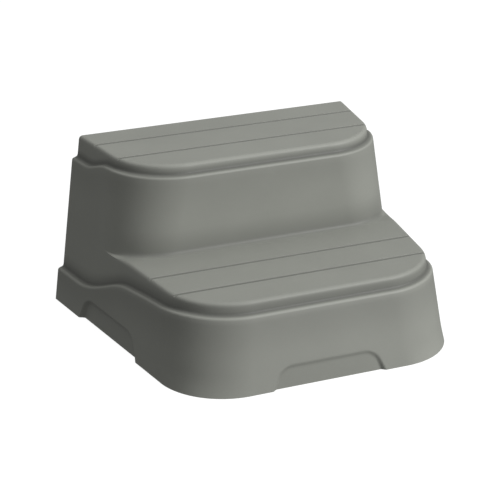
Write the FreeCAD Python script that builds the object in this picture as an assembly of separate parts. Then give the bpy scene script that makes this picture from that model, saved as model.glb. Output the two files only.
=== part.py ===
import FreeCAD, Part
import math
import os

# Two-tier spa steps: one moulded plastic skin, open behind and below, over a boarded frame.
# Millimetres.  X is across the steps, Y runs front to back, Z is up.  The origin is on the
# floor under the middle of the outer box, and people climb from -Y towards +Y.
# "Run" is a distance forward from the flat back edge of the skin.

# ---- Overall sizes ----
width = 785.0
depth = 622.0
height = 380.0
lower_height = 185.5

# ---- The skin's slopes, as rise over run ----
side_taper = 0.138
side_draft = 0.122
skirt_front_draft = 0.212
riser_draft = 0.025
tread_front_draft = 0.122

# ---- The skin ----
wall = 5.0
skirt_radius = 157.0
riser_foot_radius = 118.0
riser_lip_radius = 148.0
ledge_width = 12.0
ledge_rise = 6.0
ledge_edge_radius = 2.5
tread_wall = 22.3
tread_edge_radius = 8.0
upper_lip_run = 281.4
riser_cove_radius = 14.0
cove_steps = 5
cove_inset = 0.5
cove_root = 3.0
cove_back_run = 10.0

# Height and run of the bends in each ledge's outer edge, which climbs from back to front.
lower_lip_back = 73.5
lower_lip_climb = (150.0, 77.5)
lower_lip_crest = (292.0, 139.4)
lower_lip_level_run = 425.0
lower_bend_radii = (150.0, 190.0, 300.0)
upper_lip_back = 330.0
upper_lip_climb_run = 73.0
upper_lip_level_run = 143.0
upper_bend_radii = (115.0, 150.0)

# ---- Grooves across the treads ----
groove_width = 5.0
groove_depth = 3.5
upper_groove_runs = (74.6, 177.3)
lower_groove_runs = (385.4, 482.4)

# ---- Shallow recesses at the skirt's bottom edge ----
side_recess_run = 250.5
side_recess_length = 260.0
side_recess_height = 54.0
side_recess_depth = 14.5
front_recess_length = 252.0
front_recess_height = 47.0
front_recess_depth = 15.5
recess_end_slope = 0.41
recess_corner_radius = 20.0

# ---- Frame ----
board = 15.0
board_clearance = 4.0
board_radius = 120.0
stringer_thickness = 18.0
stringer_spacing = 190.0
rail_thickness = 25.0
rail_height = 40.0
foot_height = 10.0
foot_length = 60.0
foot_width = 34.0
foot_inset = 26.0
bond_gap = 0.5
bond_width = 40.0
bond_margin = 12.0
frame_back_run = 8.0
frame_joint_gap = 0.3
rail_end_clearance = 12.0
front_rail_setback = 24.0

# ---- Back panel ----
panel_thickness = 6.0
panel_inset = 2.0
panel_clearance = 1.0
cleat_width = 28.0
cleat_low = 110.0
cleat_high = 310.0

# ---- Screws ----
screw_radius = 2.0
screw_head_radius = 4.0
screw_head_height = 2.4
screw_length = 32.0
screw_bite = 14.0
panel_screw_length = 26.0
foot_screw_length = 30.0
foot_counterbore_radius = 6.0
foot_counterbore_depth = 4.0

# ---- How far shapes run past the surfaces that cut them ----
overrun = 40.0
cutter_overlap = 6.0
bend_share = 0.48
level_tail = 22.0
block_root = 60.0

# ---- Worked-out heights ----
back_y = depth / 2.0
lower_crease = lower_height - tread_wall
lower_lip = lower_crease - ledge_rise
upper_crease = height - tread_wall
upper_lip = upper_crease - ledge_rise
bond_thickness = groove_depth + bond_gap
upper_board_top = height - wall - bond_thickness
lower_board_top = lower_height - wall - bond_thickness
taper_norm = math.hypot(1.0, side_taper)


def vec(x, run, z):
    """A point given by its run forward from the back edge."""
    return FreeCAD.Vector(x, back_y - run, z)


def outline(half_back, front_run, radius, z, back_run=0.0):
    """Plan outline: straight back, sides that close in towards the front, round corners."""
    centre_run = front_run - radius
    centre_x = half_back - side_taper * centre_run - radius * taper_norm
    tangent_x = centre_x + radius / taper_norm
    tangent_run = centre_run + radius * side_taper / taper_norm
    half_angle = 0.5 * (math.pi / 2.0 - math.atan(side_taper))
    mid_x = centre_x + radius * math.sin(half_angle)
    mid_run = centre_run + radius * math.cos(half_angle)
    back_half = half_back - side_taper * back_run
    right = Part.Arc(
        vec(tangent_x, tangent_run, z), vec(mid_x, mid_run, z), vec(centre_x, front_run, z)
    )
    left = Part.Arc(
        vec(-centre_x, front_run, z), vec(-mid_x, mid_run, z), vec(-tangent_x, tangent_run, z)
    )
    edges = [
        Part.makeLine(vec(back_half, back_run, z), vec(tangent_x, tangent_run, z)),
        right.toShape(),
        Part.makeLine(vec(centre_x, front_run, z), vec(-centre_x, front_run, z)),
        left.toShape(),
        Part.makeLine(vec(-tangent_x, tangent_run, z), vec(-back_half, back_run, z)),
        Part.makeLine(vec(-back_half, back_run, z), vec(back_half, back_run, z)),
    ]
    return Part.Wire(edges)


def ruled(wires):
    """Solid through plan outlines, with straight walls between them."""
    return Part.makeLoft(wires, True, True)


def skirt_half(z, skin):
    return width / 2.0 - side_draft * z - skin


def body_half(z, skin):
    return skirt_half(z, skin) - ledge_width


def tread_half(z, skin):
    return body_half(z, skin) - ledge_width


def skirt_front(z, skin):
    return depth - skirt_front_draft * z - skin


lower_lip_run = skirt_front(lower_lip, 0.0)


def climbing_edge(points, radii, low_run, high_run):
    """Edges of a polyline in run and height whose inner corners are rounded."""
    pts = [(low_run, points[0][1])] + list(points[1:-1]) + [(high_run, points[-1][1])]
    edges = []
    start = pts[0]
    for before, corner, after, radius in zip(pts, pts[1:], pts[2:], radii):
        a = (corner[0] - before[0], corner[1] - before[1])
        b = (after[0] - corner[0], after[1] - corner[1])
        la = math.hypot(*a)
        lb = math.hypot(*b)
        a = (a[0] / la, a[1] / la)
        b = (b[0] / lb, b[1] / lb)
        turn = math.acos(max(-1.0, min(1.0, a[0] * b[0] + a[1] * b[1])))
        cut = min(radius * math.tan(turn / 2.0), bend_share * la, bend_share * lb)
        bow = cut / math.tan(turn / 2.0) * (1.0 / math.cos(turn / 2.0) - 1.0)
        inward = (b[0] - a[0], b[1] - a[1])
        li = math.hypot(*inward)
        first = (corner[0] - cut * a[0], corner[1] - cut * a[1])
        last = (corner[0] + cut * b[0], corner[1] + cut * b[1])
        middle = (corner[0] + bow * inward[0] / li, corner[1] + bow * inward[1] / li)
        edges.append(("line", start, first))
        edges.append(("arc", first, middle, last))
        start = last
    edges.append(("line", start, pts[-1]))
    return edges


def ledge_cutter(side, points, radii, half_at_floor, skin, top):
    """What lies above a climbing ledge on one side: a sheared prism on the drafted wall."""
    level_run = points[-1][0]
    drop = skin * math.hypot(ledge_width, ledge_rise) / ledge_width
    lowered = [(run, z - drop) for run, z in points]

    def on_wall(point, out=cutter_overlap):
        run, z = point
        half = half_at_floor - skin - side_draft * z - side_taper * run
        x = half + out / taper_norm
        shifted = run + out * side_taper / taper_norm
        return vec(side * x, shifted, z - out * ledge_rise / ledge_width)

    edges = []
    for piece in climbing_edge(lowered, radii, -overrun, level_run):
        ends = [on_wall(point) for point in piece[1:]]
        if piece[0] == "line":
            edges.append(Part.makeLine(*ends))
        else:
            edges.append(Part.Arc(*ends).toShape())
    first = on_wall((-overrun, lowered[0][1]))
    last = on_wall((level_run, lowered[-1][1]))
    above_last = on_wall((level_run, top))
    above_first = on_wall((-overrun, top))
    edges.append(Part.makeLine(last, above_last))
    edges.append(Part.makeLine(above_last, above_first))
    edges.append(Part.makeLine(above_first, first))
    face = Part.Face(Part.Wire(edges))
    reach = 3.0 * ledge_width + cutter_overlap
    inward = FreeCAD.Vector(
        -side * reach / taper_norm,
        reach * side_taper / taper_norm,
        reach * ledge_rise / ledge_width,
    )
    return face.extrude(inward)


def lower_points():
    return [
        (0.0, lower_lip_back),
        lower_lip_climb,
        lower_lip_crest,
        (lower_lip_level_run, lower_lip),
        (lower_lip_level_run + level_tail, lower_lip),
    ]


def upper_points():
    return [
        (0.0, upper_lip_back),
        (upper_lip_climb_run, upper_lip_back),
        (upper_lip_level_run, upper_lip),
        (upper_lip_level_run + level_tail, upper_lip),
    ]


def rounded_top(solid, z, radius):
    """Rounds a block's top edge, except along the back."""
    chosen = []
    for edge in solid.Edges:
        box = edge.BoundBox
        middle = edge.CenterOfMass
        level = abs(box.ZMin - z) < 0.01 and abs(box.ZMax - z) < 0.01
        if level and not (box.YLength < 0.01 and middle.y > back_y - 1.0):
            chosen.append(edge)
    return solid.makeFillet(radius, chosen)


def steepness(face, edge):
    """How far a face beside an edge faces up, from 0 for upright to 1 for level."""
    middle = edge.valueAt(0.5 * (edge.FirstParameter + edge.LastParameter))
    u, v = face.Surface.parameter(middle)
    return abs(face.normalAt(u, v).z)


def rounded_lip(solid, low, high, radius):
    """Rounds a ledge's outer edge, where the wall under it turns into the slope."""
    chosen = []
    for edge in solid.Edges:
        box = edge.BoundBox
        at_back = box.YLength < 0.01 and edge.CenterOfMass.y > back_y - 1.0
        upright = max(box.XLength, box.YLength) < 1.0
        if at_back or upright or box.ZMin < low or box.ZMax > high:
            continue
        ups = sorted(steepness(f, edge) for f in solid.ancestorsOfType(edge, Part.Face))
        if len(ups) == 2 and ups[0] < 0.3 and 0.7 < ups[1] < 0.97:
            chosen.append(edge)
    return solid.makeFillet(radius, chosen)


def skirt_block(skin, back_run, bottom):
    """The base, up to the lower ledge."""
    rings = [
        outline(skirt_half(bottom, skin), skirt_front(bottom, skin), skirt_radius - skin,
                bottom, back_run),
        outline(skirt_half(lower_lip, skin), lower_lip_run - skin, skirt_radius - skin,
                lower_lip - skin, back_run),
        outline(body_half(lower_crease, skin), lower_lip_run - ledge_width - skin,
                skirt_radius - ledge_width - skin, lower_crease - skin, back_run),
    ]
    block = ruled(rings)
    for side in (-1, 1):
        cutter = ledge_cutter(side, lower_points(), lower_bend_radii, width / 2.0, skin,
                              lower_crease + block_root)
        block = block.cut(cutter)
    if skin == 0.0:
        block = rounded_lip(block, lower_lip_back - 5.0, lower_lip + 1.0, ledge_edge_radius)
    return block


def lower_block(skin, back_run):
    """The lower tread and the wall under it."""
    low = lower_lip_back - 20.0
    front = lower_lip_run - ledge_width - skin
    radius = skirt_radius - ledge_width - skin
    top = lower_height - skin
    rings = [
        outline(body_half(low, skin), front, radius, low, back_run),
        outline(body_half(lower_crease, skin), front, radius, lower_crease, back_run),
        outline(body_half(top, skin), front - tread_front_draft * (top - lower_crease),
                radius, top, back_run),
    ]
    return rounded_top(ruled(rings), top, max(tread_edge_radius - skin, 1.0))


def riser_cove():
    """The hollow curve where the riser flows into the lower tread; it fades at the sides."""
    low = lower_height - block_root
    sections = [(lower_height - cove_root, riser_cove_radius)]
    for step in range(cove_steps + 1):
        angle = 0.5 * math.pi * step / cove_steps
        z = lower_height + riser_cove_radius * (1.0 - math.cos(angle))
        out = riser_cove_radius * (1.0 - math.sin(angle)) - cove_inset
        sections.append((z, out))
    rings = []
    for z, out in sections:
        share = (z - low) / (upper_lip - low)
        radius = riser_foot_radius + share * (riser_lip_radius - riser_foot_radius)
        front = upper_lip_run + riser_draft * (upper_lip - z) + out
        rings.append(outline(body_half(z, cove_inset), front, radius, z, cove_back_run))
    return ruled(rings)


def upper_block(skin, back_run):
    """The riser, the upper ledge and the upper tread."""
    low = lower_height - block_root
    low_front = upper_lip_run + riser_draft * (upper_lip - low) - skin
    lip_front = upper_lip_run - skin
    tread_radius = riser_lip_radius - ledge_width - skin
    tread_front = lip_front - ledge_width
    top = height - skin
    body = ruled([
        outline(body_half(low, skin), low_front, riser_foot_radius - skin, low, back_run),
        outline(body_half(upper_lip, skin), lip_front, riser_lip_radius - skin,
                upper_lip - skin, back_run),
        outline(tread_half(upper_crease, skin), tread_front, tread_radius,
                upper_crease - skin, back_run),
    ])
    for side in (-1, 1):
        cutter = ledge_cutter(side, upper_points(), upper_bend_radii,
                              width / 2.0 - ledge_width, skin, height + block_root)
        body = body.cut(cutter)
    if skin == 0.0:
        body = rounded_lip(body, upper_lip_back - 5.0, upper_lip + 1.0, ledge_edge_radius)
        body = body.fuse(riser_cove())
    tread_low = upper_lip_back - 10.0
    tread = ruled([
        outline(tread_half(tread_low, skin), tread_front, tread_radius, tread_low, back_run),
        outline(tread_half(upper_crease, skin), tread_front, tread_radius, upper_crease,
                back_run),
        outline(tread_half(top, skin),
                tread_front - tread_front_draft * (top - upper_crease), tread_radius, top,
                back_run),
    ])
    return body.fuse(rounded_top(tread, top, max(tread_edge_radius - skin, 1.0)))


def recess_profile(length, rise, radius, grow):
    """Half-trapezoid points of a recess, open at the floor, grown by the wall."""
    half = length / 2.0 + grow
    top = rise + grow
    return half, half - recess_end_slope * top, top


def recess_prism(length, rise, depth_in, grow):
    """A recess cutter that stands across +Y, its inner face in the plane Y = 0."""
    half, top_half, top = recess_profile(length, rise, recess_corner_radius, grow)
    reach = depth_in + overrun
    foot_half = half + recess_end_slope * cutter_overlap
    points = [
        FreeCAD.Vector(-foot_half, 0, -cutter_overlap),
        FreeCAD.Vector(foot_half, 0, -cutter_overlap),
        FreeCAD.Vector(top_half, 0, top),
        FreeCAD.Vector(-top_half, 0, top),
    ]
    face = Part.Face(Part.makePolygon(points + points[:1]))
    prism = face.extrude(FreeCAD.Vector(0, -reach, 0))
    corners = []
    for edge in prism.Edges:
        box = edge.BoundBox
        if abs(box.ZMin - top) < 0.01 and box.ZLength < 0.01 and box.XLength < 0.01:
            corners.append(edge)
    return prism.makeFillet(recess_corner_radius, corners)


def recess_cutters(grow):
    """The three recesses of the skirt: left, right and front."""
    cutters = []
    front = recess_prism(front_recess_length, front_recess_height, front_recess_depth, grow)
    front.translate(vec(0, depth - front_recess_depth - grow, 0))
    cutters.append(front)
    for side in (-1, 1):
        prism = recess_prism(side_recess_length, side_recess_height, side_recess_depth, grow)
        angle = math.degrees(math.atan(side_taper))
        prism.rotate(FreeCAD.Vector(0, 0, 0), FreeCAD.Vector(0, 0, 1), side * (90.0 - angle))
        inset = (side_recess_depth + grow) * taper_norm
        half = width / 2.0 - side_taper * side_recess_run - inset
        prism.translate(vec(side * half, side_recess_run, 0))
        cutters.append(prism)
    return cutters


def groove_bars(runs, top, bar_width, bar_depth):
    """Bars across the full width, one for each groove."""
    bars = []
    for run in runs:
        corner = vec(-width, run + bar_width / 2.0, top - bar_depth)
        bars.append(Part.makeBox(2.0 * width, bar_width, 2.0 * bar_depth, corner))
    return bars


def outer_form():
    """The steps as one solid, cut off flat at the back."""
    form = skirt_block(0.0, -cutter_overlap, 0.0).fuse(lower_block(0.0, -cutter_overlap))
    form = form.fuse(upper_block(0.0, -cutter_overlap)).removeSplitter()
    return form.cut(box(-width, width, -overrun, 0.0, -overrun, height + overrun))


def cavity(skin):
    """The hollow inside the skin, running out through the back and the floor."""
    back_run = -0.5 * overrun
    hollow = skirt_block(skin, back_run, back_run).fuse(lower_block(skin, back_run))
    hollow = hollow.fuse(upper_block(skin, back_run))
    for cutter in recess_cutters(skin):
        hollow = hollow.cut(cutter)
    return hollow


def step_shell():
    """The moulded skin: outer form less its hollow, recesses and grooves."""
    form = outer_form()
    for cutter in recess_cutters(0.0):
        form = form.cut(cutter)
    hollow = cavity(wall)
    ridge_width = groove_width + 2.0 * (wall - groove_depth)
    for bar in groove_bars(upper_groove_runs, height - wall, ridge_width, groove_depth):
        hollow = hollow.cut(bar)
    for bar in groove_bars(lower_groove_runs, lower_height - wall, ridge_width, groove_depth):
        hollow = hollow.cut(bar)
    skin = form.cut(hollow)
    for bar in groove_bars(upper_groove_runs, height, groove_width, groove_depth):
        skin = skin.cut(bar)
    for bar in groove_bars(lower_groove_runs, lower_height, groove_width, groove_depth):
        skin = skin.cut(bar)
    return skin


def box(x0, x1, run0, run1, z0, z1):
    """A box between two widths, two runs and two heights."""
    return Part.makeBox(x1 - x0, run1 - run0, z1 - z0, vec(x0, run1, z0))


def stringer(x):
    """A stepped upright board, notched for the rails that tie the three together."""
    reach = abs(x) + stringer_thickness / 2.0
    front = front_at(reach, body_half(lower_board_top, wall), lower_board_front(),
                     skirt_radius - ledge_width - wall)
    step = front_at(reach, tread_half(upper_board_top, wall), upper_board_front(),
                    riser_lip_radius - ledge_width - wall)
    points = [
        (frame_back(), foot_height),
        (front, foot_height),
        (front, lower_board_top - board),
        (step, lower_board_top - board),
        (step, upper_board_top - board),
        (frame_back(), upper_board_top - board),
    ]
    half = stringer_thickness / 2.0
    corners = [vec(x - half, run, z) for run, z in points]
    plate = Part.Face(Part.makePolygon(corners + corners[:1]))
    plate = plate.extrude(FreeCAD.Vector(stringer_thickness, 0, 0))
    for name in rail_names:
        plate = plate.cut(rail(name))
    return plate


def frame_back():
    return panel_inset + panel_thickness


def upper_board_front():
    return upper_lip_run - ledge_width - wall - 2.0 * board_clearance


def lower_board_front():
    return lower_lip_run - ledge_width - wall - 2.0 * board_clearance


rail_names = (
    "upper_rear_rail",
    "upper_front_rail",
    "middle_rail",
    "front_rail",
    "base_rear_rail",
    "base_front_rail",
)


def half_width_at(run, half_back, front_run, radius):
    """Half the width of a plan outline at one run."""
    centre_run = front_run - radius
    tangent_run = centre_run + radius * side_taper / taper_norm
    if run <= tangent_run:
        return half_back - side_taper * run
    centre_x = half_back - side_taper * centre_run - radius * taper_norm
    return centre_x + math.sqrt(radius ** 2 - (run - centre_run) ** 2)


def front_at(x, half_back, front_run, radius):
    """The run of a plan outline's front at one place across it."""
    centre_run = front_run - radius
    centre_x = half_back - side_taper * centre_run - radius * taper_norm
    return centre_run + math.sqrt(radius ** 2 - max(0.0, x - centre_x) ** 2)


def rail_half(level, run, z):
    """Half a rail's length, from the free width at its front top corners."""
    if level == "tread":
        front = upper_lip_run - ledge_width - wall
        radius = riser_lip_radius - ledge_width - wall
        free = half_width_at(run, tread_half(z, wall), front, radius)
    elif level == "body":
        front = lower_lip_run - ledge_width - wall
        radius = skirt_radius - ledge_width - wall
        free = half_width_at(run, body_half(z, wall), front, radius)
    else:
        radius = skirt_radius - wall
        free = half_width_at(run, skirt_half(z, wall), skirt_front(z, wall), radius)
    return free - rail_end_clearance


def rail(name):
    """A cross rail that ties the three stringers together."""
    under_upper = upper_board_top - board
    under_lower = lower_board_top - board
    floor_top = foot_height + rail_height
    places = {
        "upper_rear_rail": ("tread", frame_back(), under_upper),
        "upper_front_rail": ("tread", upper_board_front() - front_rail_setback - rail_thickness,
                             under_upper),
        "middle_rail": ("body", upper_board_front() + front_rail_setback, under_lower),
        "front_rail": ("body", lower_board_front() - front_rail_setback - rail_thickness,
                       under_lower),
        "base_rear_rail": ("skirt", frame_back(), floor_top),
        "base_front_rail": ("skirt", lower_board_front() - rail_thickness, floor_top),
    }
    level, run, top = places[name]
    half = rail_half(level, run + rail_thickness, top)
    return box(-half, half, run, run + rail_thickness, top - rail_height, top)


def tread_board(top, front, half_back, back):
    """A board with the tread's plan shape, smaller by its clearance."""
    plate = Part.Face(outline(half_back, front, board_radius, top - board, back))
    return plate.extrude(FreeCAD.Vector(0, 0, board))


def upper_tread_board():
    half = tread_half(upper_board_top, wall) - board_clearance
    return tread_board(upper_board_top, upper_board_front(), half, frame_back())


def lower_tread_board():
    half = body_half(lower_board_top, wall) - board_clearance
    back = upper_board_front() + frame_joint_gap
    return tread_board(lower_board_top, lower_board_front(), half, back)


def bond_strips(top, runs, half_back, back_run, front_run):
    """Soft adhesive strips between a board and the tread, one under each plank."""
    strips = []
    edges = [back_run] + list(runs) + [front_run]
    for back, front in zip(edges, edges[1:]):
        middle = 0.5 * (back + front)
        reach = 0.5 * min(bond_width, front - back - 2.0 * bond_margin)
        half = half_width_at(middle + reach, half_back, front_run, board_radius) - bond_margin
        strips.append(box(-half, half, middle - reach, middle + reach,
                          top - bond_thickness, top))
    return Part.makeCompound(strips)


def upper_bond_strips():
    half = tread_half(upper_board_top, wall) - board_clearance
    return bond_strips(height - wall, upper_groove_runs, half, frame_back(),
                       upper_board_front())


def lower_bond_strips():
    half = body_half(lower_board_top, wall) - board_clearance
    return bond_strips(lower_height - wall, lower_groove_runs, half,
                       upper_lip_run + riser_cove_radius, lower_board_front())


stringer_places = (
    ("left", -stringer_spacing),
    ("centre", 0.0),
    ("right", stringer_spacing),
)


def foot_runs():
    return {
        "rear": frame_back() + foot_inset + foot_length / 2.0,
        "front": lower_board_front() - foot_inset - foot_length / 2.0,
    }


def screw(point, direction, length, head_radius=screw_head_radius):
    """A countersunk screw whose head is flush at the point and which runs along direction."""
    head = Part.makeCone(head_radius, screw_radius, screw_head_height, point, direction)
    start = point + direction * screw_head_height
    shank = Part.makeCylinder(screw_radius, length - screw_head_height, start, direction)
    return head.fuse(shank)


up = FreeCAD.Vector(0, 0, 1)
down = FreeCAD.Vector(0, 0, -1)
forward = FreeCAD.Vector(0, -1, 0)


def foot(x, run):
    """A rubber pad with rounded corners and a pocket for its screw head."""
    pad = box(x - foot_width / 2.0, x + foot_width / 2.0, run - foot_length / 2.0,
              run + foot_length / 2.0, 0.0, foot_height)
    corners = [e for e in pad.Edges if e.BoundBox.ZLength > foot_height - 0.1]
    pad = pad.makeFillet(foot_width / 4.0, corners)
    pocket = Part.makeCylinder(foot_counterbore_radius, foot_counterbore_depth, vec(x, run, 0), up)
    return pad.cut(pocket)


def foot_screws():
    screws = []
    for _, x in stringer_places:
        for run in foot_runs().values():
            point = vec(x, run, foot_counterbore_depth)
            screws.append(screw(point, up, foot_screw_length))
    return screws


def board_screws():
    """Screws down through each board into the two rails under it."""
    pairs = (
        (upper_board_top, ("upper_rear_rail", "upper_front_rail")),
        (lower_board_top, ("middle_rail", "front_rail")),
    )
    screws = []
    for top, names in pairs:
        for name in names:
            bar = rail(name).BoundBox
            run = back_y - 0.5 * (bar.YMin + bar.YMax)
            inner = 0.5 * stringer_spacing
            outer = 0.5 * (stringer_spacing + bar.XMax)
            for x in (-outer, -inner, inner, outer):
                screws.append(screw(vec(x, run, top), down, screw_length))
    return screws


def rail_screws():
    """Screws through each rail into the stringers: level at the frame's ends, else upright."""
    screws = []
    for name in rail_names:
        bar = rail(name).BoundBox
        run = back_y - 0.5 * (bar.YMin + bar.YMax)
        level = 0.5 * (bar.ZMin + bar.ZMax)
        if name in ("upper_rear_rail", "base_rear_rail"):
            run, direction, through = back_y - bar.YMax, forward, rail_thickness
        elif name == "base_front_rail":
            run, direction, through = back_y - bar.YMin, -forward, rail_thickness
        else:
            level, direction, through = bar.ZMax, down, rail_height
        for _, x in stringer_places:
            screws.append(screw(vec(x, run, level), direction, through + screw_bite))
    return screws


def back_panel():
    """The closing panel: the shape of the hollow at the back, less a clearance."""
    space = cavity(wall + panel_clearance)
    slab = box(-width, width, panel_inset, panel_inset + panel_thickness,
               panel_clearance, height)
    return space.common(slab)


def cleat(side):
    """An upright batten bonded to the skin's side, which takes the back panel's screws."""
    space = cavity(wall + frame_joint_gap)
    low_x = body_half(cleat_high, wall) - cleat_width
    high_x = width
    bar = box(min(side * low_x, side * high_x), max(side * low_x, side * high_x),
              frame_back(), frame_back() + rail_thickness, cleat_low, cleat_high)
    return space.common(bar)


def panel_screw_points():
    """Places of the panel's screws: along both rear rails and down both cleats."""
    points = []
    for name in ("upper_rear_rail", "base_rear_rail"):
        bar = rail(name).BoundBox
        level = 0.5 * (bar.ZMin + bar.ZMax)
        half = bar.XMax - 2.0 * rail_thickness
        for share in (-1.0, -1.0 / 3.0, 1.0 / 3.0, 1.0):
            points.append((share * half, level))
    for side in (-1, 1):
        x = side * (body_half(cleat_high, wall) - cleat_width / 2.0)
        for z in (cleat_low + rail_thickness, cleat_high - rail_thickness):
            points.append((x, z))
    return points


def panel_screws():
    return [screw(vec(x, panel_inset, z), forward, panel_screw_length)
            for x, z in panel_screw_points()]


def drilled(solid, screws):
    """A solid with the screws that pass into it taken away."""
    for item in screws:
        if solid.BoundBox.intersect(item.BoundBox):
            solid = solid.cut(item)
    return solid


def build():
    """Every sub-part by its node name."""
    groups = {
        "foot_screws": foot_screws(),
        "board_screws": board_screws(),
        "rail_screws": rail_screws(),
        "panel_screws": panel_screws(),
    }
    every_screw = [item for group in groups.values() for item in group]
    parts = {"step_shell": step_shell()}
    parts["back_panel"] = back_panel()
    parts["upper_tread_board"] = upper_tread_board()
    parts["lower_tread_board"] = lower_tread_board()
    for name, x in stringer_places:
        parts[name + "_stringer"] = stringer(x)
    for name in rail_names:
        parts[name] = rail(name)
    parts["left_panel_cleat"] = cleat(-1)
    parts["right_panel_cleat"] = cleat(1)
    for end, run in foot_runs().items():
        for name, x in stringer_places:
            parts[end + "_" + name + "_foot"] = foot(x, run)
    for name in list(parts):
        if name != "step_shell":
            parts[name] = drilled(parts[name], every_screw)
    parts["upper_bond_strips"] = upper_bond_strips()
    parts["lower_bond_strips"] = lower_bond_strips()
    for name, group in groups.items():
        parts[name] = Part.makeCompound(group)
    return parts


os.makedirs("parts", exist_ok=True)
for node, shape in build().items():
    shape.exportStep("parts/" + node + ".step")
    print(node, len(shape.Solids), round(shape.Volume / 1000.0, 1), "cm3")
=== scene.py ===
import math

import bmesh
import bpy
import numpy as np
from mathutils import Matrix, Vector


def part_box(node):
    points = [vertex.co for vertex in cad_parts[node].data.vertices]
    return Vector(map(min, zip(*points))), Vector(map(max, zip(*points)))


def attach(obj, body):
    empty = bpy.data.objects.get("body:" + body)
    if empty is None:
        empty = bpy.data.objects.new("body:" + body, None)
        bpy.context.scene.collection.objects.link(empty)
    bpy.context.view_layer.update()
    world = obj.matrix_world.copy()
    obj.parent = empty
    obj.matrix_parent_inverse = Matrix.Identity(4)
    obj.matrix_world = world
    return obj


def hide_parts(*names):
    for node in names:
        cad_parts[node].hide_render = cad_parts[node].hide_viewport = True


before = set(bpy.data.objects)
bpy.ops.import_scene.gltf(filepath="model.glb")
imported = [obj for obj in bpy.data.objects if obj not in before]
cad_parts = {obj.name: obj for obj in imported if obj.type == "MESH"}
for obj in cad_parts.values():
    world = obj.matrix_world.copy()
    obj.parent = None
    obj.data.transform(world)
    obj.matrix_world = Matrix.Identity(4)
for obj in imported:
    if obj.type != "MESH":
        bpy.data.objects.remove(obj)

# %% [markdown]
# # Two-tier spa steps
# A thin moulded skin in warm grey plastic stands over a boarded frame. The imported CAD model
# gives the frame, the feet and the overall size. This lesson models the skin again as one bent
# sheet, so that its ledges, coves and rolled rims are real curves, and then eases the edges of
# the boards and gives each part its finish. Lengths in the formulas are millimetres, as on a
# shop drawing, and become metres at the last moment.

MM = 0.001
TINY, NEARLY = 1e-7, 1e-6
scene = bpy.context.scene
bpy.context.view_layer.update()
low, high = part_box("step_shell")
WIDTH, DEPTH, HEIGHT = [(high[i] - low[i]) / MM for i in range(3)]
print("skin box, mm:", round(WIDTH, 1), round(DEPTH, 1), round(HEIGHT, 1))

# %% [markdown]
# ## The mould's slopes
# A moulded skin leans inwards everywhere so that it lets go of its mould. The sides also close
# in towards the front. Four functions give the plan outlines of the four walls, each made of a
# straight side, a round corner and a straight front. "Run" is the distance forward from the
# flat back edge.

# %% Slopes, radii and heights
SIDE_TAPER = 0.138
SIDE_DRAFT = 0.122
SKIRT_FRONT_DRAFT = 0.212
RISER_DRAFT = 0.025
TREAD_FRONT_DRAFT = 0.122
TREAD_Z = 185.5
LEDGE_WIDTH = 12.0
LEDGE_RISE = 6.0
LIP_Z = 157.2
UPPER_LIP_Z = 351.7
UPPER_LIP_RUN = 281.4
SKIRT_RADIUS = 157.0
RISER_FOOT_RADIUS = 118.0
RISER_LIP_RADIUS = 148.0
RISER_ROOT = 125.5
LEAN = math.hypot(1.0, SIDE_TAPER)
SIDE_ANGLE = math.atan(SIDE_TAPER)
LIP_FRONT = DEPTH - SKIRT_FRONT_DRAFT * LIP_Z


def skirt_half(z):
    return WIDTH / 2 - SIDE_DRAFT * z


def lower_skirt(z):
    """Half width at the back, front run and corner radius of the base's wall."""
    return skirt_half(z), DEPTH - SKIRT_FRONT_DRAFT * z, SKIRT_RADIUS


def lower_body(z):
    """The same for the wall between the lower ledge and the lower tread."""
    lean = TREAD_FRONT_DRAFT * max(0.0, z - LIP_Z - LEDGE_RISE)
    return skirt_half(z) - LEDGE_WIDTH, LIP_FRONT - LEDGE_WIDTH - lean, SKIRT_RADIUS - LEDGE_WIDTH


def riser(z):
    """The same for the wall of the upper step."""
    share = (z - RISER_ROOT) / (UPPER_LIP_Z - RISER_ROOT)
    radius = RISER_FOOT_RADIUS + share * (RISER_LIP_RADIUS - RISER_FOOT_RADIUS)
    return skirt_half(z) - LEDGE_WIDTH, UPPER_LIP_RUN + RISER_DRAFT * (UPPER_LIP_Z - z), radius


def upper_body(z):
    """The same for the low wall between the upper ledge and the upper tread."""
    lean = TREAD_FRONT_DRAFT * max(0.0, z - UPPER_LIP_Z - LEDGE_RISE)
    front = UPPER_LIP_RUN - LEDGE_WIDTH - lean
    return skirt_half(z) - 2 * LEDGE_WIDTH, front, RISER_LIP_RADIUS - LEDGE_WIDTH


# %% [markdown]
# ## Stations round the steps
# The skin is a sheet with stations along it and rows up it, like the warp and weft of a cloth
# laid over a mould. Each station has a place on the lower outline and one on the upper. Behind
# the riser's corner both places are the same, because the two steps share one flat side. From
# there the lower place goes on along the side and round its own corner, while the upper place
# turns with the riser. Stations crowd together at the ends of the recesses, where the shape
# changes fast.

# %% A place on an outline
SHARED_RUN = 252.0
FRONT_X = 150.0


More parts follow.
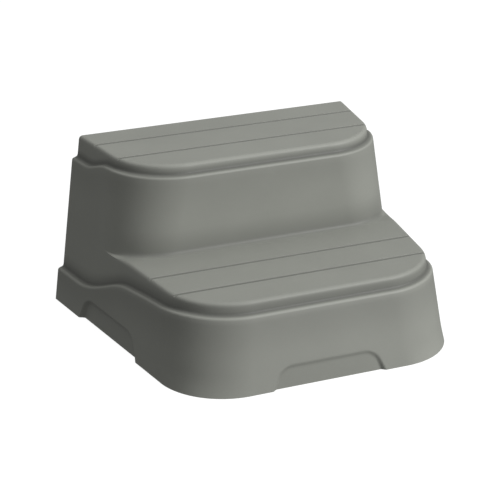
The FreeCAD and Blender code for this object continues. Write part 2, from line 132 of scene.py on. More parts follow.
def on_outline(outline, place, outset=0.0):
    """Point and outward direction at a place, as x and run, with the outline set outwards."""
    half, front, radius = outline
    kind, value = place
    half += outset * LEAN
    front += outset
    radius += outset
    centre_run = front - radius
    centre_x = half - SIDE_TAPER * centre_run - radius * LEAN
    tangent_run = centre_run + radius * math.sin(SIDE_ANGLE)
    if kind == "fan":
        start = math.asin((SHARED_RUN - centre_run) / radius)
        arc = radius * (math.pi / 2 - start)
        gone = value * (arc + centre_x - FRONT_X)
        if gone > arc:
            kind, value = "front", centre_x - (gone - arc)
        else:
            kind, value = "turn", start + gone / radius
    if kind == "corner":
        kind, value = "turn", SIDE_ANGLE + value * (math.pi / 2 - SIDE_ANGLE)
    if kind == "side" and value > tangent_run:
        kind, value = "turn", math.asin((value - centre_run) / radius)
    if kind == "side":
        return (half - SIDE_TAPER * value, value), (1 / LEAN, SIDE_TAPER / LEAN)
    if kind == "front":
        return (value, front), (0.0, 1.0)
    toward = (math.cos(value), math.sin(value))
    return (centre_x + radius * toward[0], centre_run + radius * toward[1]), toward


# %% The list of stations, from the back edge to the middle of the front
SIDE_END = 440.0
SIDE_RECESS = dict(middle=250.5, half=130.0, top=54.0, depth=11.0, draft=0.03)
FRONT_RECESS = dict(middle=0.0, half=126.0, top=47.0, depth=7.0, draft=0.11)
RECESS_SLOPE = 0.41
FINE, COARSE, FINE_REACH, GROWTH = 1.7, 7.0, 15.0, 0.35


def crowded(start, end, crowds):
    """Numbers from start to end, close together within reach of each crowd's middle."""
    found = [start]
    while found[-1] < end:
        near = min(abs(found[-1] - c) for c in crowds)
        step = FINE if near < FINE_REACH else min(COARSE, FINE + GROWTH * (near - FINE_REACH))
        found.append(found[-1] + step)
    scale = (end - start) / (found[-1] - start)
    return [start + (n - start) * scale for n in found]


def recess_end(recess):
    return recess["half"] - RECESS_SLOPE * recess["top"]


side_ends = [SIDE_RECESS["middle"] + s * recess_end(SIDE_RECESS) for s in (-1, 1)]
side_runs = crowded(0.0, SIDE_END, side_ends)
front_xs = crowded(0.0, FRONT_X, [recess_end(FRONT_RECESS)])[::-1]
CORNER_STEPS = 34
lower_places = [("side", r) for r in side_runs]
lower_places += [("corner", i / CORNER_STEPS) for i in range(CORNER_STEPS + 1)]
lower_places += [("front", x) for x in front_xs]
print("stations on each half:", len(lower_places))

# %% The upper place of each station
START_RATE, END_RATE = 2.8, 2.4


def travelled(place):
    """How far a place on the lower tread's outline is from the last shared one."""
    half, front, radius = lower_body(TREAD_Z)
    tangent = front - radius + radius * math.sin(SIDE_ANGLE)
    if place[0] == "side":
        return (place[1] - SHARED_RUN) * LEAN
    along = (tangent - SHARED_RUN) * LEAN
    return along + place[1] * radius * (math.pi / 2 - SIDE_ANGLE)


def upper_place(place):
    if place[0] == "front" or (place[0] == "side" and place[1] <= SHARED_RUN):
        return place
    s = travelled(place) / (travelled(("corner", 1.0)) + COARSE)
    ease = (s**3 - 2 * s**2 + s) * START_RATE + (s**3 - s**2) * END_RATE
    return "fan", ease + 3 * s**2 - 2 * s**3


upper_places = [upper_place(p) for p in lower_places]

# %% [markdown]
# ## The ledges climb
# Each step carries a narrow ledge below its tread. On the sides the ledge starts low at the
# back, climbs in a soft curve and levels out towards the front. A polyline of heights, smoothed
# with a rolling average, gives that curve without a kink.

# %% Crease heights along the run
RUNS = np.arange(-100.0, 800.0, 2.0)


def eased_line(runs, heights, reach):
    """A polyline of heights over run, smoothed over reach on both sides."""
    kernel = np.hanning(int(reach) + 1)
    line = np.interp(RUNS, runs, heights)
    return np.convolve(np.pad(line, len(kernel), mode="edge"), kernel / kernel.sum(), "same")[
        len(kernel):-len(kernel)
    ]


lower_line = eased_line([0, 112, 140, 172, 270, 300, 400, 520],
                        [80, 80.8, 86, 95.5, 137, 144.6, 155, 163.4], 30)
upper_line = eased_line([0, 73, 143], [336, 336, 361.0], 36)


def lower_crease(run):
    return float(np.interp(run, RUNS, lower_line))


def upper_crease(run):
    return float(np.interp(run, RUNS, upper_line))


print("lower ledge, mm:", [round(lower_crease(r)) for r in (0, 150, 300, 450, 600)])

# %% [markdown]
# ## Recesses and flare at the floor
# The skirt has a shallow pocket in each side and in the front, so that the steps can be lifted.
# The pocket's inner face is nearly upright, its ends lean and its rims are rolled. A signed
# distance to the pocket's outline tells how deep each point is pushed. At the two front corners
# the skirt flares out a little where it meets the floor.

# %% Depth of the skirt at each point
POCKET_CORNER = 24.0
RIM_OUT, RIM_IN = 3.4, 7.6
FLARE, FLARE_TOP = 3.5, 42.0
SPREAD_FADE = 50.0


def smooth(t):
    t = min(1.0, max(0.0, t))
    return t * t * (3 - 2 * t)


def inside_pocket(recess, along, z):
    """Signed distance into a pocket's outline, measured on the wall."""
    slant = math.hypot(1.0, RECESS_SLOPE)
    to_end = (recess["half"] - RECESS_SLOPE * z - abs(along - recess["middle"])) / slant
    to_top = recess["top"] - z
    if to_end < POCKET_CORNER and to_top < POCKET_CORNER:
        return POCKET_CORNER - math.hypot(POCKET_CORNER - to_end, POCKET_CORNER - to_top)
    return min(to_end, to_top)


def skirt_point(place, z):
    """A point of the base's wall, with its pockets and its flare."""
    kind, value = place
    recess = SIDE_RECESS if kind == "side" else FRONT_RECESS
    if kind != "corner":
        end = recess_end(recess)
        away = abs(abs(value - recess["middle"]) - end)
        bump = 1 - smooth((away - FINE_REACH) / SPREAD_FADE)
        spread = RECESS_SLOPE * max(0.0, recess["top"] - z) * bump
        value += math.copysign(spread, value - recess["middle"]) if value else 0.0
        place = (kind, value)
    (x, run), away_from = on_outline(lower_skirt(z), place)
    if kind == "corner":
        out = FLARE * max(0.0, 1 - z / FLARE_TOP) ** 2 * math.sin(math.pi * value)
        return x + out * away_from[0], run + out * away_from[1], z
    push = smooth((inside_pocket(recess, value, z) + RIM_OUT) / (RIM_OUT + RIM_IN))
    (floor_x, floor_run), _ = on_outline(lower_skirt(0.0), place)
    sunk_by = recess["depth"] + recess["draft"] * z
    inner = (floor_x - sunk_by * away_from[0], floor_run - sunk_by * away_from[1])
    depth = (x - inner[0]) * away_from[0] + (run - inner[1]) * away_from[1]
    return x - push * depth * away_from[0], run - push * depth * away_from[1], z


# %% [markdown]
# ## One cross-section of the skin
# From the floor up, a section goes over the skirt, the lower ledge, the low wall, the lower
# tread, the cove, the riser, the upper ledge and the last low wall to the upper tread. Each
# corner is rounded by a short curve between a point before it and a point after it. Where the
# lower tread narrows to nothing, beside the riser's corner, its rolled edge and its cove
# shrink with it, so they fade into the flat side, and the tread dips a little.
#
# Each point also gets a share of painted shade, a darker tone drawn into the colour. It deepens
# the creases, the riser's foot, the bands under the lips and the whole lower tread, which this
# scene's lights leave too bright.
# The share corrects the light, and it stands for no dirt or wear. The shares were tuned.

# %% Rounded corners
TREAD_ROLL, COVE = 8.6, 12.0
LIP_CUT, CREASE_CUT, DISH = 4.0, 4.0, 1.6
FULL_WIDTH = 34.0
CUSP_DIP, CUSP_REACH = 7.0, 60.0
SEAM = 2.0
LIP_STEPS, ROLL_STEPS = 4, 7


def rounded(before, corner, after, steps):
    """Points of a curve that leaves one line and joins the next near their corner."""
    found = []
    for i in range(steps + 1):
        t = i / steps
        found.append(before.lerp(corner, t).lerp(corner.lerp(after, t), t))
    return found


def toward(start, end, distance):
    """The point that far from start, in the direction of end."""
    return start + (end - start).normalized() * distance


def wall_point(outline, place, z, outset=0.0):
    (x, run), _ = on_outline(outline(z), place, outset)
    return Vector((x, run, z))


def levels(start, end, count):
    return [start + (end - start) * (i + 1) / (count + 1) for i in range(count)]


# %% Rows of points and shares of the painted shade
RIM_ROWS = [-16, -11, -7.5, -5.5, -4, -2.8, -1.6, -0.5, 0.6, 1.7, 3.2, 6, 11]
FOOT_ROWS, SKIRT_ROWS, WALL_ROWS, RISER_ROWS, TOP_ROWS = 5, 9, 6, 10, 2
TREAD_MARGIN, TREAD_STOPS = 1.2, (0.25, 0.5, 0.75)
# Shares of painted shade: darkening drawn into the colour in the ledges' creases, under the lips,
# on the lower tread, at the cove and at the riser's foot.
LEDGE_SHADE = [0.1, 0.0, 0.0, 0.0, 0.25, 0.65, 0.85, 1.0, 1.0, 0.85, 0.6]
CREASE_FADE, UPPER_FADE, UNDER_LIP_SHADE, LIP_FADE = 28.0, 15.0, 0.25, 85.0
TREAD_SHADE = 0.15
FOOT_SHADE, FOOT_FADE = 0.42, 50.0
COVE_SHADE = [0.17, 0.29, 0.46, 0.63, 0.71, 0.71, 0.63, 0.50]


def fade(distance, reach):
    """One at no distance, easing to nothing at reach."""
    return 1 - smooth(distance / reach)


def ledge(skirt, body, place, crease_z):
    """Rounded lip, slope and rounded crease of a ledge, from the wall below to the one above."""
    lip_z = crease_z - LEDGE_RISE
    lip = wall_point(skirt, place, lip_z)
    crease = wall_point(body, place, crease_z - DISH)
    under = wall_point(skirt, place, lip_z - LIP_CUT)
    above = wall_point(body, place, crease_z + CREASE_CUT)
    points = rounded(under, lip, toward(lip, crease, LIP_CUT), LIP_STEPS)
    points += [lip.lerp(crease, 0.5)]
    return points + rounded(toward(crease, lip, CREASE_CUT), crease, above, LIP_STEPS)


# %% From the floor to the lower ledge
def base_rows(low_place, crease_z):
    share = {"side": 0.0, "front": 1.0}.get(low_place[0], low_place[1])
    rim = SIDE_RECESS["top"] + share * (FRONT_RECESS["top"] - SIDE_RECESS["top"])
    heights = [0.0] + levels(0.0, rim + RIM_ROWS[0], FOOT_ROWS) + [rim + d for d in RIM_ROWS]
    heights += levels(rim + RIM_ROWS[-1], crease_z - LEDGE_RISE - LIP_CUT, SKIRT_ROWS)
    points = [Vector(skirt_point(low_place, z)) for z in heights]
    # Painted shade under the lower lip, then in the lower ledge's crease.
    shades = [UNDER_LIP_SHADE * fade(heights[-1] - z, LIP_FADE) for z in heights]
    points += ledge(lower_skirt, lower_body, low_place, crease_z)
    return points, shades + LEDGE_SHADE


# %% From the low wall over the lower tread to the cove
def narrowing(low_place, high_place):
    """The share of its full shapes that the lower tread has here, and its dip."""
    foot = wall_point(riser, high_place, TREAD_Z)
    half = skirt_half(TREAD_Z) - LEDGE_WIDTH
    gap = max(0.0, (half - SIDE_TAPER * foot.y - foot.x) / LEAN)
    scale = min(1.0, gap / FULL_WIDTH)
    if low_place[0] == "side" and low_place[1] <= SHARED_RUN:
        scale = smooth(scale)
    return scale, CUSP_DIP * (1 - smooth(gap / CUSP_REACH))


def tread_rows(low_place, high_place, crease_z):
    scale, dip = narrowing(low_place, high_place)
    seam = SEAM * (1 - scale) / 2
    roll = wall_point(lower_body, low_place, TREAD_Z - TREAD_ROLL)
    edge = wall_point(lower_body, low_place, TREAD_Z - seam - dip)
    rolled = wall_point(lower_body, low_place, edge.z, -TREAD_ROLL * scale)
    hollow = wall_point(riser, high_place, TREAD_Z + seam - dip, COVE * scale)
    points = [wall_point(lower_body, low_place, z)
              for z in levels(crease_z + CREASE_CUT, roll.z, WALL_ROWS)]
    points += rounded(roll, edge, rolled, ROLL_STEPS)
    margin = min(TREAD_MARGIN, (hollow - rolled).length / 4)
    points += [toward(rolled, hollow, margin)]
    points += [rolled.lerp(hollow, t) for t in TREAD_STOPS]
    points += [toward(hollow, rolled, margin)]
    first = WALL_ROWS + (ROLL_STEPS + 1) // 2
    # Painted shade fading up from the lower crease, and a flat share of painted shade over the
    # lower tread. The cove's shares below are painted shade at the riser's foot.
    shades = [max(LEDGE_SHADE[-1] * fade(p.z - crease_z, CREASE_FADE),
                  TREAD_SHADE * scale * (i >= first)) for i, p in enumerate(points)]
    corner = wall_point(riser, high_place, hollow.z)
    points += rounded(hollow, corner, wall_point(riser, high_place, TREAD_Z + COVE), ROLL_STEPS)
    return points, shades + [scale * s for s in COVE_SHADE], scale


# %% From the cove to the upper tread
def riser_rows(high_place, scale):
    crease_z = upper_crease(wall_point(riser, high_place, UPPER_LIP_Z).y)
    top = crease_z - LEDGE_RISE - LIP_CUT
    points = [wall_point(riser, high_place, z) for z in levels(TREAD_Z + COVE, top, RISER_ROWS)]
    # Painted shade fading up the riser from its foot, and down from under the upper lip.
    shades = [max(FOOT_SHADE * scale * fade(p.z - TREAD_Z - COVE, FOOT_FADE),
                  UNDER_LIP_SHADE / 2 * fade(top - p.z, LIP_FADE)) for p in points]
    points += ledge(riser, upper_body, high_place, crease_z)
    shades += LEDGE_SHADE
    points += [wall_point(upper_body, high_place, z)
               for z in levels(crease_z + CREASE_CUT, HEIGHT - TREAD_ROLL, TOP_ROWS)]
    points += rounded(wall_point(upper_body, high_place, HEIGHT - TREAD_ROLL),
                      wall_point(upper_body, high_place, HEIGHT),
                      wall_point(upper_body, high_place, HEIGHT, -TREAD_ROLL), ROLL_STEPS)
    points += [wall_point(upper_body, high_place, HEIGHT, -TREAD_ROLL - TREAD_MARGIN)]
    # Painted shade fading up from the upper ledge's crease.
    shades += [LEDGE_SHADE[-1] * fade(p.z - crease_z, UPPER_FADE) for p in points[len(shades):]]
    return points, shades


# %% The whole section at each station
def section(low_place, high_place):
    """Every point of one station, from the floor to the upper tread, with its share."""
    crease_z = lower_crease(on_outline(lower_body(LIP_Z), low_place)[0][1])
    base, base_shades = base_rows(low_place, crease_z)
    tread_part, tread_shades, scale = tread_rows(low_place, high_place, crease_z)
    riser_part, riser_shades = riser_rows(high_place, scale)
    return list(zip(base + tread_part + riser_part,
                    base_shades + tread_shades + riser_shades, strict=True))


sections = [section(a, b) for a, b in zip(lower_places, upper_places)]
ROWS = len(sections[0])
print("rows up each section:", ROWS)

# %% [markdown]
# ## The sheet, bent over its mould
# A flat grid gets one column for each station and one row for each point of a section, and
# then every vertex moves to its place, as a warm sheet drops over a mould. The two halves
# mirror each other, so the left one takes the same sections with X turned round.

# %% Grid to skin
BACK_Y = DEPTH / 2
HALF = len(sections) - 1
skin = bmesh.new()
# This float layer holds each vertex's share of painted shade, a darker tone drawn into the
# colour.
painted_shade = skin.verts.layers.float.new("painted_shade")
bmesh.ops.create_grid(skin, x_segments=2 * HALF, y_segments=ROWS - 1, size=1.0)
for v in skin.verts:
    column = round((v.co.x + 1) * HALF)
    row = round((v.co.y + 1) / 2 * (ROWS - 1))
    side = 1 if column > HALF else -1
    point, v[painted_shade] = sections[min(column, 2 * HALF - column)][row]
    v.co = Vector((side * point.x, BACK_Y - point.y, point.z)) * MM
print("skin vertices:", len(skin.verts))

# %% The upper tread closes the sheet
TOP_SLACK = 0.01
top_edges = [e for e in skin.edges if e.is_boundary
             and min(v.co.z for v in e.verts) > (HEIGHT - TOP_SLACK) * MM]
ends = [v for v in {v for e in top_edges for v in e.verts} if abs(v.co.y - BACK_Y * MM) < NEARLY]
ends = [v for v in ends if sum(e in top_edges for e in v.link_edges) == 1]
back_edge = bmesh.ops.contextual_create(skin, geom=ends)["edges"]
tread = bmesh.ops.contextual_create(skin, geom=top_edges + back_edge)["faces"]
bmesh.ops.recalc_face_normals(skin, faces=skin.faces)
print("upper tread faces:", len(tread))

# %% [markdown]
# ## Grooves across the treads
# Two narrow grooves cross each tread from edge to edge. Each is cut with parallel planes,
# which leave lines of vertices across the tread and its rolled edges, and the lines sink to
# the groove's rounded profile.

# %% Cut and sink the grooves
GROOVES = {TREAD_Z: (385.4, 482.4), HEIGHT: (74.6, 177.3)}
GROOVE_PROFILE = [(5.6, 0.0), (4.3, 0.0), (3.8, 0.3), (3.4, 1.0), (3.0, 3.1), (1.7, 3.8),
                  (0.0, 3.8)]
GROOVE_BELOW, GROOVE_ABOVE, RISER_CLEAR = 12.0, 1.0, 20.0


def near_tread(face, top):
    """Whether a face is in the band of skin that this tread's grooves may cut."""
    heights = [v.co.z for v in face.verts]
    run = BACK_Y - face.calc_center_median().y / MM
    return (max(heights) > (top - GROOVE_BELOW) * MM and min(heights) < (top + GROOVE_ABOVE) * MM
            and (run > UPPER_LIP_RUN + RISER_CLEAR or top == HEIGHT))


def sink_groove(mesh, run, top):
    """Cuts one groove's lines across a tread and lowers them to the profile."""
    for offset, _ in GROOVE_PROFILE:
        for side in (-1, 1) if offset else (1,):
            near = [f for f in mesh.faces if near_tread(f, top)]
            geom = near + list({e for f in near for e in f.edges}
                               | {v for f in near for v in f.verts})
            plane = Vector((0, (BACK_Y - run - side * offset) * MM, 0))
            bmesh.ops.bisect_plane(mesh, geom=geom, dist=TINY, plane_co=plane,
                                   plane_no=(0, 1, 0))
    offsets = [o for o, _ in GROOVE_PROFILE][::-1]
    depths = [d for _, d in GROOVE_PROFILE][::-1]
    for v in mesh.verts:
        offset = abs(BACK_Y - run - v.co.y / MM)
        level = (top - GROOVE_BELOW) * MM < v.co.z < (top + GROOVE_ABOVE) * MM
        if level and offset < offsets[-1]:
            v.co.z = min(v.co.z, (top - np.interp(offset, offsets, depths)) * MM)


for tread_z, runs in GROOVES.items():
    for run in runs:
        sink_groove(skin, run, tread_z)
print("faces after the grooves:", len(skin.faces))

# %% [markdown]
# ## Wall thickness
# The sheet is nominally five millimetres thick. The solidify operator makes a second surface
# inside it and closes the rims. At tight bends it sets that surface too deep, so each inner
# vertex is put back one wall below its partner on the outside, along the partner's normal, and
# the inside is then smoothed. At the grooves and beside the riser's corner it still folds over
# itself in places, out of sight. Sloping walls would carry the inner rims past the flat back and
# under the floor, so those vertices are put back on the two planes.

# %% Painted shade in the grooves
GROOVE_SHADE = 0.75
SHADE_HALF, SHADE_LOW, SHADE_HIGH = 4.0, 4.2, 0.1
# The float layer with each vertex's share of painted shade.
painted_shade = skin.verts.layers.float["painted_shade"]
# Vertices in each groove's band get a share of painted shade, a darker tone drawn into the
# colour.
for v in skin.verts:
    top = HEIGHT if v.co.z > (HEIGHT - GROOVE_BELOW) * MM else TREAD_Z
    in_band = any(abs(BACK_Y - run - v.co.y / MM) < SHADE_HALF for run in GROOVES[top])
    if in_band and (top - SHADE_LOW) * MM < v.co.z < (top - SHADE_HIGH) * MM:
        v[painted_shade] = GROOVE_SHADE
print("vertices in grooves:", sum(v[painted_shade] == GROOVE_SHADE for v in skin.verts))

# %% Thicken the skin
WALL, INNER_SMOOTHINGS = 5.0, 4
partner = skin.verts.layers.int.new("partner")
skin.verts.index_update()
skin.normal_update()
outer = [(v.co.copy(), v.normal.copy()) for v in skin.verts]
for v in skin.verts:
    v[partner] = v.index
bmesh.ops.solidify(skin, geom=skin.faces, thickness=WALL * MM)
inside = [v for v in skin.verts if (v.co - outer[v[partner]][0]).length > TINY]
for v in inside:
    place, normal = outer[v[partner]]
    v.co = place - normal * WALL * MM
    v.co.y = min(v.co.y, BACK_Y * MM)
    v.co.z = max(v.co.z, 0.0)
free = [v for v in inside if v.co.y < (BACK_Y - WALL) * MM and v.co.z > WALL * MM]
for _ in range(INNER_SMOOTHINGS):
    bmesh.ops.smooth_vert(skin, verts=free, factor=0.5, use_axis_x=True, use_axis_y=True,
                          use_axis_z=True)
skin.verts.layers.int.remove(partner)
print("inner vertices:", len(inside), "smoothed:", len(free))

# %% The skin as an object
SKIN_SHARP = math.radians(40)
shell_mesh = bpy.data.meshes.new("moulded_skin")
skin.to_mesh(shell_mesh)
skin.free()
shell = bpy.data.objects.new("moulded_skin", shell_mesh)
scene.collection.objects.link(shell)
shell_mesh.shade_smooth()
shell_mesh.set_sharp_from_angle(angle=SKIN_SHARP)
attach(shell, "root")
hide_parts("step_shell")
corners = np.array([v.co for v in shell_mesh.vertices])
print("skin, mm:", (np.ptp(corners, axis=0) / MM).round(1), "faces:", len(shell_mesh.polygons))

# %% [markdown]
# ## Shader arithmetic
# Patterns are sums and products of noises. A small class wraps a socket, so that plain Python
# expressions add the Math nodes, and one method adds every other node.

# %% Helpers for finishes
class Number:
    """A number socket that can be added, multiplied and compared."""

    def __init__(self, finish, socket):
        self.finish = finish
        self.socket = socket

    def math(self, operation, first, second):
        node = self.finish.node("ShaderNodeMath", {"operation": operation}, {0: first, 1: second})
        return Number(self.finish, node.outputs[0])

    def __add__(self, other):
        return self.math("ADD", self, other)

    def __mul__(self, other):
        return self.math("MULTIPLY", self, other)

    def __gt__(self, other):
        return self.math("GREATER_THAN", self, other)

    def __lt__(self, other):
        return self.math("LESS_THAN", self, other)

    def fraction(self):
        return self.math("FRACT", self, 0.0)

    __radd__ = __add__
    __rmul__ = __mul__


class Nodes:
    """Adds nodes to one node tree."""

    def __init__(self, tree):
        self.tree = tree

    def node(self, kind, settings=None, sockets=None):
        node = self.tree.nodes.new(kind)
        for name, value in (settings or {}).items():
            setattr(node, name, value)
        for name, value in (sockets or {}).items():
            self.plug(node.inputs[name], value)
        return node

    def plug(self, socket, value):
        value = value.socket if isinstance(value, Number) else value
        if isinstance(value, bpy.types.NodeSocket):
            self.tree.links.new(value, socket)
        else:
            socket.default_value = value


class Finish(Nodes):
    """A material made of nodes, with its colour, roughness and relief set by name."""

    def __init__(self, name, roughness=0.5, metallic=0.0, specular=0.5):
        self.material = bpy.data.materials.new(name)
        self.material.use_nodes = True
        super().__init__(self.material.node_tree)
        self.shader = self.tree.nodes["Principled BSDF"]
        self.shader.inputs["Roughness"].default_value = roughness
        self.shader.inputs["Metallic"].default_value = metallic
        self.shader.inputs["Specular IOR Level"].default_value = specular
        self.place = self.node("ShaderNodeTexCoord").outputs["Object"]

    def noise(self, scale, stretch=(1, 1, 1), detail=2.0):
        """Noise from 0 to 1, stretched along the axes."""
        mapping = self.node("ShaderNodeMapping", None, {"Vector": self.place, "Scale": stretch})
        noise = self.node("ShaderNodeTexNoise", None,
                          {"Vector": mapping.outputs[0], "Scale": scale, "Detail": detail})
        return Number(self, noise.outputs["Fac"])

    def position(self, axis):
        parts = self.node("ShaderNodeSeparateXYZ", None, {0: self.place})
        return Number(self, parts.outputs[axis])

    def facing(self, axis):
        """How much a face looks along one axis, either way."""
        normal = self.node("ShaderNodeNewGeometry").outputs["Normal"]
        parts = self.node("ShaderNodeSeparateXYZ", None, {0: normal})
        node = self.node("ShaderNodeMath", {"operation": "ABSOLUTE"}, {0: parts.outputs[axis]})
        return Number(self, node.outputs[0])

    def mix(self, share, first, second):
        """Between two colours."""
        node = self.node("ShaderNodeMix", {"data_type": "RGBA"})
        self.plug(node.inputs["Factor"], share)
        for socket, value in zip([i for i in node.inputs if i.type == "RGBA"], (first, second)):
            self.plug(socket, value if isinstance(value, bpy.types.NodeSocket) else (*value, 1))
        return [o for o in node.outputs if o.type == "RGBA"][0]

    def apply(self, colour, roughness, relief, depth):
        """Colour, roughness and relief of the surface, with the relief's depth in metres."""
        self.plug(self.shader.inputs["Base Color"], colour)
        self.plug(self.shader.inputs["Roughness"], roughness)
        bump = self.node("ShaderNodeBump", None,
                         {"Height": relief, "Distance": depth, "Strength": 1.0})
        self.plug(self.shader.inputs["Normal"], bump.outputs[0])
        return self.material


# %% [markdown]
# ## The moulded grey plastic
# Rotational moulding leaves a satin skin with a very fine pebble and faint clouds where the
# powder lay thicker. The shares of each point then blend in the painted shade, a darker tone that
# stands in for shade.

# %% Plastic of the skin
plastic = Finish("moulded_grey", specular=0.35)
pebble = plastic.noise(1400.0, detail=3.0)
cloud = plastic.noise(9.0, detail=4.0)
speckle = plastic.noise(420.0, detail=1.0)
# Each point's share of painted shade, read from the float layer.
share = plastic.node("ShaderNodeAttribute", {"attribute_name": "painted_shade"}).outputs["Fac"]
SKIN_LIGHT, SKIN_DARK = (0.288, 0.295, 0.266), (0.240, 0.246, 0.222)
SKIN_PAINTED_SHADE = (0.110, 0.113, 0.102)
PEBBLE_DEPTH = 0.00016
tone = plastic.mix(cloud * 0.7 + speckle * 0.3, SKIN_DARK, SKIN_LIGHT)
# Painted shade: each point's share blends the tone towards the darker colour.
tone = plastic.mix(share, tone, SKIN_PAINTED_SHADE)
shell_mesh.materials.append(plastic.apply(tone, cloud * 0.12 + speckle * 0.10 + 0.42,
                                          pebble + speckle * 0.5, PEBBLE_DEPTH))
print("skin finish:", len(plastic.tree.nodes), "nodes")

# %% [markdown]
# ## Sheet, boards, rubber, steel and adhesive
# The back panel is extruded sheet with faint streaks. The boards are plywood: grain on the
# faces, and thin layers on the edges, which show where a face looks away from the board's
# thickness. The feet are black rubber, the screws brushed stainless steel, and the strips under
# the treads a black closed-cell tape.

# %% Other finishes
PLY_LAYER = 0.0034
PLY_FACE = (0.47, 0.31, 0.17), (0.66, 0.48, 0.29)
PLY_EDGE = (0.30, 0.19, 0.10), (0.58, 0.42, 0.26)
SHEET_GREY = (0.185, 0.190, 0.175), (0.235, 0.240, 0.220)
BLACK, RUBBER_LIGHT, TAPE_LIGHT = (0.018,) * 3, (0.045,) * 3, (0.030, 0.030, 0.032)
STEEL_GREY = (0.50, 0.50, 0.49), (0.70, 0.70, 0.68)


def plywood(name, thickness_axis, grain):
    """Plywood whose layers are stacked along one axis and whose grain runs along another."""
    wood = Finish(name, specular=0.3)
    stretch = [1.0, 1.0, 1.0]
    stretch[grain] = 0.08
    fibre = wood.noise(160.0, stretch, 6.0)
    figure = wood.noise(14.0, stretch, 3.0)
    ply = (wood.position(thickness_axis) * (1 / PLY_LAYER) + figure * 0.15).fraction() > 0.5
    edge = wood.facing(thickness_axis) < 0.7
    tone = wood.mix(edge, wood.mix(figure * 0.65 + fibre * 0.35, *PLY_FACE),
                    wood.mix(ply, *PLY_EDGE))
    return wood.apply(tone, fibre * 0.2 + 0.5, fibre + ply * edge * 0.4, 0.0002)


def sheet_plastic():
    sheet = Finish("panel_sheet", specular=0.35)
    streak = sheet.noise(90.0, (1.0, 1.0, 0.05), 4.0)
    grain = sheet.noise(700.0)
    tone = sheet.mix(streak * 0.6 + grain * 0.4, *SHEET_GREY)
    return sheet.apply(tone, streak * 0.15 + 0.42, grain + streak, 0.00012)


def rubber(name, light):
    black = Finish(name, specular=0.3)
    grain = black.noise(900.0, detail=3.0)
    bloom = black.noise(60.0)
    tone = black.mix(bloom * 0.6 + grain * 0.4, BLACK, light)
    return black.apply(tone, grain * 0.2 + 0.6, grain, 0.0002)


def steel():
    metal = Finish("screw_steel", metallic=1.0)
    brush = metal.noise(1500.0, (1.0, 0.08, 1.0), 3.0)
    return metal.apply(metal.mix(brush, *STEEL_GREY), brush * 0.25 + 0.22, brush, 0.00005)


BOARD_PLY = plywood("plywood_flat", 2, 0)
UPRIGHT_PLY = plywood("plywood_upright", 0, 1)
RAIL_PLY = plywood("plywood_rail", 1, 0)
SHEET = sheet_plastic()
RUBBER = rubber("foot_rubber", RUBBER_LIGHT)
TAPE = rubber("bond_tape", TAPE_LIGHT)
STEEL = steel()
print("finishes:", [m.name for m in bpy.data.materials])

# %% [markdown]
# ## Eased edges
# Sawn boards, sheet and rubber never have knife edges: each arris is sanded or moulded to a
# small radius. A copy of the CAD node is merged, its flat faces are joined again, and a bevel
# rounds the sharp edges that are left.

# %% Boards, panel and feet with eased edges
BOARD_EDGE, SHEET_EDGE, FOOT_EDGE = 1.0, 0.8, 1.2
FLAT, BEVEL_FROM, EASED_SHARP = (math.radians(a) for a in (1.0, 50, 35))


def eased(node, width, finish):
    """A copy of a CAD node with its sharp edges rounded, which stands for the node."""
    solid = bmesh.new()
    solid.from_mesh(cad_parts[node].data)
    bmesh.ops.remove_doubles(solid, verts=solid.verts, dist=NEARLY)
    bmesh.ops.dissolve_limit(solid, angle_limit=FLAT, verts=solid.verts,
                             edges=solid.edges)
    mesh = bpy.data.meshes.new(node + "_eased")
    solid.to_mesh(mesh)
    solid.free()
    piece = bpy.data.objects.new(node + "_eased", mesh)
    scene.collection.objects.link(piece)
    mesh.materials.clear()
    mesh.materials.append(finish)
    bevel = piece.modifiers.new("eased", "BEVEL")
    bevel.width = width * MM
    bevel.segments = 2
    bevel.limit_method = "ANGLE"
    bevel.angle_limit = BEVEL_FROM
    bevel.use_clamp_overlap = True
    mesh.shade_smooth()
    mesh.set_sharp_from_angle(angle=EASED_SHARP)
    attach(piece, "root")
    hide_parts(node)


nodes = sorted(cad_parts)
for name in nodes:
    if name.endswith("_board"):
        eased(name, BOARD_EDGE, BOARD_PLY)
    elif name.endswith("_stringer"):
        eased(name, SHEET_EDGE, UPRIGHT_PLY)
    elif name.endswith(("_rail", "_cleat")):
        eased(name, BOARD_EDGE, RAIL_PLY)
    elif name.endswith("_foot"):
        eased(name, FOOT_EDGE, RUBBER)
eased("back_panel", SHEET_EDGE, SHEET)
for name in nodes:
    if name.endswith(("_screws", "_bond_strips")):
        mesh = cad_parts[name].data
        mesh.materials.clear()
        mesh.materials.append(STEEL if name.endswith("_screws") else TAPE)

# %% [markdown]
# ## The camera
# A long lens from under four metres away keeps the object's edges almost parallel. The
# camera stands to the left of the front and looks down at the treads.

# %% Camera
EYE = Vector((-1.4423, -3.2427, 1.6283))
AIM = Vector((-0.0761, -0.0690, 0.2111))
LENS, SENSOR = 127.63, 36.0
lens = bpy.data.cameras.new("camera")
lens.lens = LENS
lens.sensor_width = SENSOR
camera = bpy.data.objects.new("camera", lens)
camera.location = EYE
camera.rotation_euler = (AIM - EYE).to_track_quat("-Z", "Y").to_euler()
scene.collection.objects.link(camera)
scene.camera = camera
print("camera distance, m:", round((AIM - EYE).length, 2))

# %% [markdown]
# ## The floor
# The floor is a plain sheet of studio paper. It glows, so that it stays an even white, and it
# is left out of bounced light and reflections, so that the object's shaded walls stay dark.

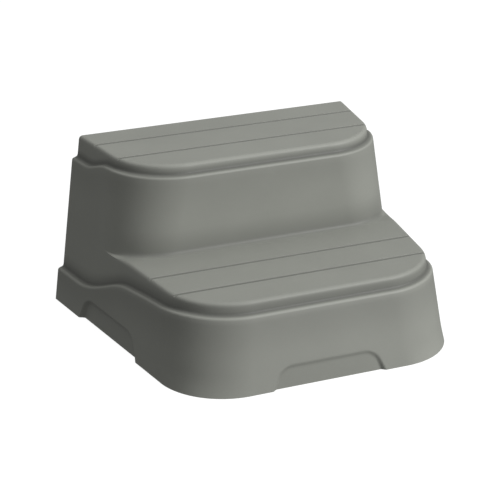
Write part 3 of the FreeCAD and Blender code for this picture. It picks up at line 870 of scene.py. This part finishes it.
# %% Floor
FLOOR_REACH, FLOOR_CELLS = 12.0, 8
PAPER_TONE, PAPER_GLOW = 0.12, 0.95
grid = bmesh.new()
bmesh.ops.create_grid(grid, x_segments=FLOOR_CELLS, y_segments=FLOOR_CELLS,
                      size=FLOOR_REACH)
floor_mesh = bpy.data.meshes.new("floor")
grid.to_mesh(floor_mesh)
grid.free()
floor = bpy.data.objects.new("floor", floor_mesh)
scene.collection.objects.link(floor)
floor.visible_diffuse = False
floor.visible_glossy = False
paper = Finish("studio_paper", roughness=1.0)
paper.shader.inputs["Base Color"].default_value = (PAPER_TONE, PAPER_TONE, PAPER_TONE, 1)
paper.shader.inputs["Emission Color"].default_value = (1, 1, 1, 1)
paper.shader.inputs["Emission Strength"].default_value = PAPER_GLOW
floor_mesh.materials.append(paper.material)
print("floor, m:", 2 * FLOOR_REACH)

# %% [markdown]
# ## The light
# A round soft box to the right of the front draws the turn of each corner. The world adds an
# even fill and a bright patch overhead, which lights the treads and leaves the walls alone.

# %% Light
SOFTBOX_AZIMUTH, SOFTBOX_ELEVATION = math.radians(41), math.radians(33)
SOFTBOX_DISTANCE, SOFTBOX_SIZE, SOFTBOX_POWER = 6.0, 2.5, 336.0
OVERHEAD, FILL = 1.0, 0.18
direction = Vector((math.sin(SOFTBOX_AZIMUTH) * math.cos(SOFTBOX_ELEVATION),
                    -math.cos(SOFTBOX_AZIMUTH) * math.cos(SOFTBOX_ELEVATION),
                    math.sin(SOFTBOX_ELEVATION)))
softbox = bpy.data.lights.new("softbox", "AREA")
softbox.shape = "DISK"
softbox.size = SOFTBOX_SIZE
softbox.energy = SOFTBOX_POWER
lamp = bpy.data.objects.new("softbox", softbox)
lamp.location = AIM + SOFTBOX_DISTANCE * direction
lamp.rotation_euler = direction.to_track_quat("Z", "Y").to_euler()
scene.collection.objects.link(lamp)
world = bpy.data.worlds.new("studio")
world.use_nodes = True
sky = Nodes(world.node_tree)
outward = sky.node("ShaderNodeTexCoord").outputs["Generated"]
height = Number(sky, sky.node("ShaderNodeSeparateXYZ", None, {0: outward}).outputs["Z"])
height = height.math("MAXIMUM", height, 0.0)
background = world.node_tree.nodes["Background"]
background.inputs["Color"].default_value = (1, 1, 1, 1)
sky.plug(background.inputs["Strength"], height * height * height * OVERHEAD + FILL)
scene.world = world
scene.view_settings.view_transform = "Standard"
print("soft box at, m:", [round(c, 2) for c in lamp.location])
